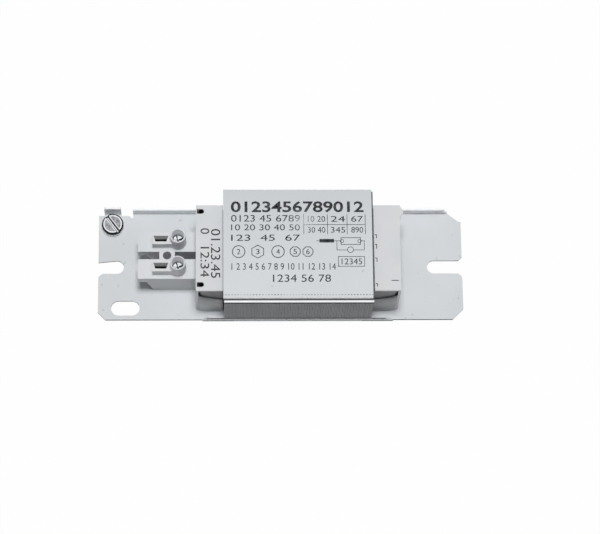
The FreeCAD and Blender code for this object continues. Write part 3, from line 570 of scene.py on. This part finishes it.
# %% [markdown]
# The terminal screws lie deep in their wells, and still their heads look bright. Light that comes
# through the block's walls may do that, so each head gives off a little light too. A dark cross,
# painted as the shade of a cross recess, and a dark rim, painted shade in the gap round the head,
# stand out on each. The cross is turned by numbers that are a cosine and a sine.

# %% Terminal screws
CROSS_COSINE = 0.94
CROSS_SINE = 0.34
CROSS_HALF = 0.24 * MM
HEAD_RADIUS = 1.72 * MM
for name, row in zip(("terminal_screw_front", "terminal_screw_back"), WELL_ROWS):
    head = zinc("zinc_" + name, display(226, 229, 232), display(150, 154, 158), 0.3)
    across = (head.x - WELL_X) * CROSS_COSINE + (head.y - row) * CROSS_SINE
    along = (head.y - row) * CROSS_COSINE - (head.x - WELL_X) * CROSS_SINE
    # The cross is painted dark as the shade of a cross recess.
    cross = abs(across).below(CROSS_HALF).largest(abs(along).below(CROSS_HALF))
    # Outside the head's radius it is painted dark: painted shade in the gap.
    rim_shade = 1.0 - round_hole(head, WELL_X, row, HEAD_RADIUS)
    painted_shade = cross.largest(rim_shade)
    spots = head.noise(0.8 * MM, 3.0, 0.6).ramp(0.35, 0.65)
    shine = head.mix(spots, display(176, 179, 181), display(84, 87, 90))
    head.set(Base_Color=head.mix(painted_shade, display(214, 217, 220), display(24, 26, 28)))
    head.set(Emission_Color=head.mix(painted_shade, shine, BLACK))
    head.shader.inputs["Emission Strength"].default_value = 1.0
    head.shader.inputs["Metallic"].default_value = 0.5
    head.dress(name)
    print("dressed", name)

# %% [markdown]
# The earth screw's head has a mottled flat middle, a painted highlight in a ring round it, and a
# dark edge that is painted shade. The distance from the screw's own axis tells them apart. Its slot
# runs askew, with a painted highlight on its floor and lips and painted shade on its sides, by the
# distance from its line.

# %% Earth screw
screw_low, screw_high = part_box("earth_screw")
screw_axis = (screw_low + screw_high) / 2
RING_START = 2.95 * MM
EDGE_START = 3.42 * MM
earth = zinc("zinc_earth_screw", display(226, 229, 232), display(176, 180, 184), 0.18)
off_x = earth.x - screw_axis.x
off_y = earth.y - screw_axis.y
from_axis = (off_x * off_x + off_y * off_y).root()
mottle = earth.noise(0.7 * MM, 3.0, 0.7).ramp(0.35, 0.65)
head_colour = earth.mix(mottle, display(112, 116, 121), display(196, 200, 204))
# A ring round the flat middle is painted bright: painted highlight.
ring_painted_highlight = from_axis.ramp(RING_START, 3.05 * MM)
# The head's edge is painted dark: painted shade.
edge_painted_shade = from_axis.ramp(EDGE_START, 3.5 * MM) * earth.z.above(2.2 * MM)
head_colour = earth.mix(ring_painted_highlight, head_colour, display(250, 251, 252))
SLOT_ANGLE = math.radians(-53.5)
from_slot = abs(off_x * -math.sin(SLOT_ANGLE) + off_y * math.cos(SLOT_ANGLE))
# The slot's sides are painted shade, and its floor and lips a painted highlight.
slot_painted_shade = from_slot.between(0.24 * MM, 0.58 * MM, 0.06 * MM)
slot_painted_highlight = from_slot.below(0.92 * MM)
head_colour = earth.mix(slot_painted_highlight, head_colour, display(250, 251, 252))
head_colour = earth.mix(edge_painted_shade, head_colour, display(24, 26, 28))
earth.set(Base_Color=earth.mix(slot_painted_shade, head_colour, display(30, 32, 35)))
earth.shader.inputs["Metallic"].default_value = 0.55
earth.dress("earth_screw")
print("earth screw stands at", [round(screw_axis[i] / MM, 1) for i in range(2)])

# %% [markdown]
# The cover carries black print: rows of numbers, a small table and a plain wiring diagram. The
# numbers here are plain counting numbers. Print is made as very thin shapes that lie on the
# sheet, so it stays sharp at any size. Text becomes a mesh first and is then fitted to its box.

# %% Print tools
INK_HEIGHT = 0.03 * MM


def ink_text(work, words, left, right_edge, bottom, top, level, quarter_turns=0, bolder=0.0):
    """Adds words to the bmesh, stretched to fill the box, lying at the given level."""
    curve = bpy.data.curves.new("words", "FONT")
    curve.body = words
    curve.resolution_u = 4
    curve.offset = bolder
    curve.extrude = 0.5
    carrier = bpy.data.objects.new("words", curve)
    bpy.context.scene.collection.objects.link(carrier)
    bpy.context.view_layer.update()
    flat = bpy.data.meshes.new_from_object(carrier.evaluated_get(bpy.context.evaluated_depsgraph_get()))
    bpy.data.objects.remove(carrier)
    bpy.data.curves.remove(curve)
    flat.transform(Matrix.Rotation(-quarter_turns * math.pi / 2, 4, "Z"))
    low = Vector([min(v.co[i] for v in flat.vertices) for i in range(3)])
    high = Vector([max(v.co[i] for v in flat.vertices) for i in range(3)])
    size = high - low
    wide = (right_edge - left) * MM / size.x
    tall = (top - bottom) * MM / size.y
    fit = Matrix.Diagonal((wide, tall, INK_HEIGHT / size.z, 1.0))
    flat.transform(Matrix.Translation((left * MM, bottom * MM, level)) @ fit @ Matrix.Translation(-low))
    work.from_mesh(flat)
    bpy.data.meshes.remove(flat)


def ink_bar(work, left, right_edge, bottom, top, level):
    """Adds a filled bar."""
    middle = Vector(((left + right_edge) / 2 * MM, (bottom + top) / 2 * MM, level + INK_HEIGHT / 2))
    size = Matrix.Diagonal(((right_edge - left) * MM, (top - bottom) * MM, INK_HEIGHT, 1.0))
    bmesh.ops.create_cube(work, size=1.0, matrix=Matrix.Translation(middle) @ size)


def ink_ring(work, x, y, radius, line, level, sides=40, turned=0.0):
    """Adds the outline of a circle or of a shape with equal sides: two loops, bridged and raised."""
    place = Matrix.Translation((x * MM, y * MM, level)) @ Matrix.Rotation(math.radians(turned), 4, "Z")
    loops = []
    for size in (radius * MM, (radius - line) * MM):
        made = bmesh.ops.create_circle(work, segments=sides, radius=size, matrix=place)
        loops += {edge for vert in made["verts"] for edge in vert.link_edges}
    faces = bmesh.ops.bridge_loops(work, edges=loops)["faces"]
    grown = bmesh.ops.extrude_face_region(work, geom=faces)["geom"]
    raised = [part for part in grown if isinstance(part, bmesh.types.BMVert)]
    bmesh.ops.translate(work, verts=raised, vec=(0.0, 0.0, INK_HEIGHT))


def ink_frame(work, left, right_edge, bottom, top, line, level):
    """Adds the outline of a box."""
    ink_bar(work, left, right_edge, bottom, bottom + line, level)
    ink_bar(work, left, right_edge, top - line, top, level)
    ink_bar(work, left, left + line, bottom + line, top - line, level)
    ink_bar(work, right_edge - line, right_edge, bottom + line, top - line, level)


def finish_piece(work, name, material):
    """Turns the bmesh into an object that rides on the part."""
    bmesh.ops.remove_doubles(work, verts=work.verts[:], dist=0.0002 * MM)
    bmesh.ops.recalc_face_normals(work, faces=work.faces[:])
    mesh = bpy.data.meshes.new(name)
    work.to_mesh(mesh)
    work.free()
    mesh.materials.append(material)
    piece = bpy.data.objects.new(name, mesh)
    bpy.context.scene.collection.objects.link(piece)
    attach(piece, "root")
    print(name, "has", len(mesh.polygons), "faces")
    return piece


# %% [markdown]
# Ink is uneven: small thin spots everywhere. In one round patch near the table's upper left
# corner the ink is lightened unevenly, as a painted highlight.

# %% Ink
GLARE_X = 7.5 * MM
GLARE_Y = 8.8 * MM
ink = Finish("print_ink", Metallic=0.0, IOR=1.45)
wear = ink.noise(1.2 * MM, 4.0, 0.6)
glare_dx = ink.x - GLARE_X
glare_dy = ink.y - GLARE_Y
# A round patch where the ink is lightened: painted highlight.
glare_patch = (glare_dx * glare_dx + glare_dy * glare_dy * 2.0).root().ramp(1.5 * MM, 6.5 * MM, 0.75, 0.0)
spotted = ink.mix(wear.ramp(0.4, 0.8), display(30, 32, 34), display(92, 95, 98))
ink.set(Base_Color=ink.mix(glare_patch * wear.ramp(0.2, 0.6), spotted, display(178, 181, 184)))
ink.set(Roughness=0.5 + 0.2 * wear)

# %% [markdown]
# Each row is given by its left, right, lower and upper edge in millimetres. The heading is the
# largest row, and its strokes are a little bolder.

# %% Rows of numbers on the cover
COVER_INK = cover_high.z
rows = bmesh.new()
ink_text(rows, "0123456789012", -18.6, 29.6, 11.9, 16.2, COVER_INK, bolder=0.022)
ink_text(rows, "0123 45 6789", -18.5, 6.5, 8.35, 10.9, COVER_INK)
ink_text(rows, "10 20 30 40 50", -18.5, 6.4, 5.0, 7.3, COVER_INK)
ink_text(rows, "123  45  67", -18.5, 6.4, 1.0, 3.4, COVER_INK)
ink_text(rows, "1 2 3 4 5 6 7 8 9 10 11 12 13 14", -18.4, 19.2, -10.0, -7.5, COVER_INK)
ink_text(rows, "1234 56 78", -3.5, 17.4, -14.6, -11.8, COVER_INK)
finish_piece(rows, "cover_number_rows", ink.material)

# %% [markdown]
# A row of plain outlines stands under the numbers: rings and many-sided shapes, with a digit in
# each.

# %% Plain shapes on the cover
shapes = bmesh.new()
ink_ring(shapes, -15.8, -3.1, 2.4, 0.3, COVER_INK)
ink_ring(shapes, -8.9, -3.1, 2.6, 0.3, COVER_INK, sides=6)
ink_ring(shapes, -1.6, -3.1, 2.4, 0.3, COVER_INK)
ink_ring(shapes, 4.6, -3.1, 2.1, 0.3, COVER_INK, sides=8, turned=22.5)
ink_ring(shapes, 9.2, -3.1, 2.1, 0.3, COVER_INK, sides=8, turned=22.5)
for number, x in enumerate((-15.8, -8.9, -1.6, 4.6, 9.2), start=2):
    ink_text(shapes, str(number), x - 0.65, x + 0.65, -4.1, -2.1, COVER_INK)
finish_piece(shapes, "cover_plain_shapes", ink.material)

# %% [markdown]
# The table has three columns and two rows. Its lines are thin bars, and each cell holds a number.

# %% Table on the cover
table = bmesh.new()
LINE = 0.2
TABLE_LEFT = 7.8
TABLE_RIGHT = 30.1
for x in (TABLE_LEFT, 16.4, 23.5, TABLE_RIGHT):
    ink_bar(table, x - LINE / 2, x + LINE / 2, 3.5, 11.2, COVER_INK)
ink_bar(table, TABLE_LEFT, TABLE_RIGHT, 7.2 - LINE / 2, 7.2 + LINE / 2, COVER_INK)
cells = ((9.3, 15.6, "10 20", "30 40"), (17.6, 22.8, "24", "345"), (25.0, 29.3, "67", "890"))
for left, right_edge, upper, lower in cells:
    ink_text(table, upper, left, right_edge, 8.3, 10.5, COVER_INK)
    ink_text(table, lower, left, right_edge, 4.1, 6.3, COVER_INK)
finish_piece(table, "cover_table", ink.material)

# %% [markdown]
# The diagram is a plain sketch: a coil as a filled bar, a lamp as a box with two small rings, a
# starter as a larger ring, and the lines between them. A box with digits stands below it.

# %% Wiring diagram on the cover
diagram = bmesh.new()
LAMP_Y = 0.9
RAIL_Y = -2.4
ink_bar(diagram, 13.4, 18.7, 0.35, 1.7, COVER_INK)
ink_bar(diagram, 12.3, 21.1, LAMP_Y, LAMP_Y + LINE, COVER_INK)
ink_frame(diagram, 21.1, 28.4, -0.5, 2.3, 0.22, COVER_INK)
for x in (21.6, 27.9):
    ink_ring(diagram, x, LAMP_Y, 0.7, 0.2, COVER_INK, sides=20)
ink_bar(diagram, 28.4, 29.8, LAMP_Y, LAMP_Y + LINE, COVER_INK)
for x in (19.6, 29.5):
    ink_bar(diagram, x, x + LINE, RAIL_Y, LAMP_Y, COVER_INK)
for left, right_edge in ((19.6, 23.4), (25.8, 29.7)):
    ink_bar(diagram, left, right_edge, RAIL_Y - LINE, RAIL_Y, COVER_INK)
ink_ring(diagram, 24.6, RAIL_Y, 1.2, 0.22, COVER_INK, sides=28)
ink_frame(diagram, 20.1, 29.7, -8.8, -4.9, 0.2, COVER_INK)
ink_text(diagram, "12345", 21.3, 28.7, -8.0, -5.7, COVER_INK)
finish_piece(diagram, "cover_diagram", ink.material)

# %% [markdown]
# The left cap carries two rows that run down it, so their digits are turned by a quarter.

# %% Numbers on the left cap
CAP_INK = cap_high.z
cap_rows = bmesh.new()
ink_text(cap_rows, "01.23.45", -25.8, -22.4, -11.5, 7.2, CAP_INK, quarter_turns=1)
ink_text(cap_rows, "0", -29.6, -26.4, 5.3, 7.5, CAP_INK, quarter_turns=1)
ink_text(cap_rows, "12:34", -29.6, -26.4, -11.1, 0.3, CAP_INK, quarter_turns=1)
finish_piece(cap_rows, "cap_number_rows", ink.material)

# %% [markdown]
# The photograph has a pure white ground. The floor is plain and pale. To the camera it adds its
# own white to the light that falls on it, so it stays white and still keeps a faint shadow.

# %% Floor
FLOOR_HALF = 2.0
FLOOR_DROP = 0.02 * MM
OWN_WHITE = 0.97
floor_mesh = bpy.data.meshes.new("floor")
floor_work = bmesh.new()
bmesh.ops.create_grid(floor_work, x_segments=1, y_segments=1, size=FLOOR_HALF)
bmesh.ops.translate(floor_work, verts=floor_work.verts[:], vec=(0.0, 0.0, cad_box[0].z - FLOOR_DROP))
floor_work.to_mesh(floor_mesh)
floor_work.free()
floor = bpy.data.objects.new("floor", floor_mesh)
bpy.context.scene.collection.objects.link(floor)

ground = Finish("floor_white", Roughness=0.9)
ground.set(Base_Color=display(225, 226, 227))
paths = ground.node("LightPath", output=None)
seen = Value(ground, paths.outputs["Is Camera Ray"]).largest(Value(ground, paths.outputs["Is Glossy Ray"]))
glow = ground.node("Emission", sockets={"Color": WHITE, "Strength": 1.0}, output=None)
blend = ground.node("MixShader", sockets={0: seen * OWN_WHITE}, output=None)
ground.tree.links.new(ground.shader.outputs[0], blend.inputs[1])
ground.tree.links.new(glow.outputs[0], blend.inputs[2])
ground.tree.links.new(blend.outputs[0], ground.tree.nodes["Material Output"].inputs["Surface"])
floor_mesh.materials.append(ground.material)
print("floor at z in mm:", round((cad_box[0].z - FLOOR_DROP) / MM, 2))

# %% [markdown]
# The world adds a little light from all round, and more from overhead, so upward faces are bright
# and the front walls are in half shade. To anything that shines, the world is bright overhead and
# dark near the horizon, as in a studio with one big softbox, so round edges of metal get their
# dark lines.

# %% World
world = bpy.data.worlds.new("studio")
bpy.context.scene.world = world
world.use_nodes = True
sky = Graph(world.node_tree)
background = sky.tree.nodes["Background"]
AMBIENT = 0.09
AMBIENT_OVERHEAD = 0.26
height = sky.axes(sky.node("TexCoord", output="Generated"))[2]
overhead = height.ramp(0.35, 0.95, 0.10, 0.85)
rays = sky.node("LightPath", output=None)
camera_ray = Value(sky, rays.outputs["Is Camera Ray"])
shiny_ray = Value(sky, rays.outputs["Is Glossy Ray"]).largest(Value(sky, rays.outputs["Is Transmission Ray"]))
fill = height.ramp(0.35, 0.85, AMBIENT, AMBIENT_OVERHEAD)
sky.feed(background.inputs["Strength"], camera_ray.largest(shiny_ray * overhead).largest(fill))
background.inputs["Color"].default_value = WHITE
print("world fill:", AMBIENT)

# %% [markdown]
# One soft round lamp, half a metre wide, hangs two metres up, almost straight above the part. It
# is hidden from reflections, because the world already gives metal its bright sky.

# %% Lamp
def area_lamp(name, place, size, power):
    lamp_data = bpy.data.lights.new(name, "AREA")
    lamp_data.shape = "DISK"
    lamp_data.size = size
    lamp_data.energy = power
    lamp = bpy.data.objects.new(name, lamp_data)
    bpy.context.scene.collection.objects.link(lamp)
    towards_part = (-Vector(place)).to_track_quat("-Z", "Y").to_matrix().to_4x4()
    lamp.matrix_world = Matrix.Translation(place) @ towards_part
    lamp.visible_glossy = False
    return lamp


LAMP_PLACE = (0.0, 0.05, 2.0)
LAMP_WIDTH = 0.5
LAMP_POWER = 31.0
area_lamp("softbox", LAMP_PLACE, LAMP_WIDTH, LAMP_POWER)
print("lamp power in watts:", LAMP_POWER)

# %% [markdown]
# The Standard view shows a colour about as it is written. Last, the box of the solids is printed.

# %% Picture settings
bpy.context.scene.view_settings.view_transform = "Standard"

# %% Sizes and finish
print("cad box:", [round(c, 4) for corner in cad_box for c in corner])
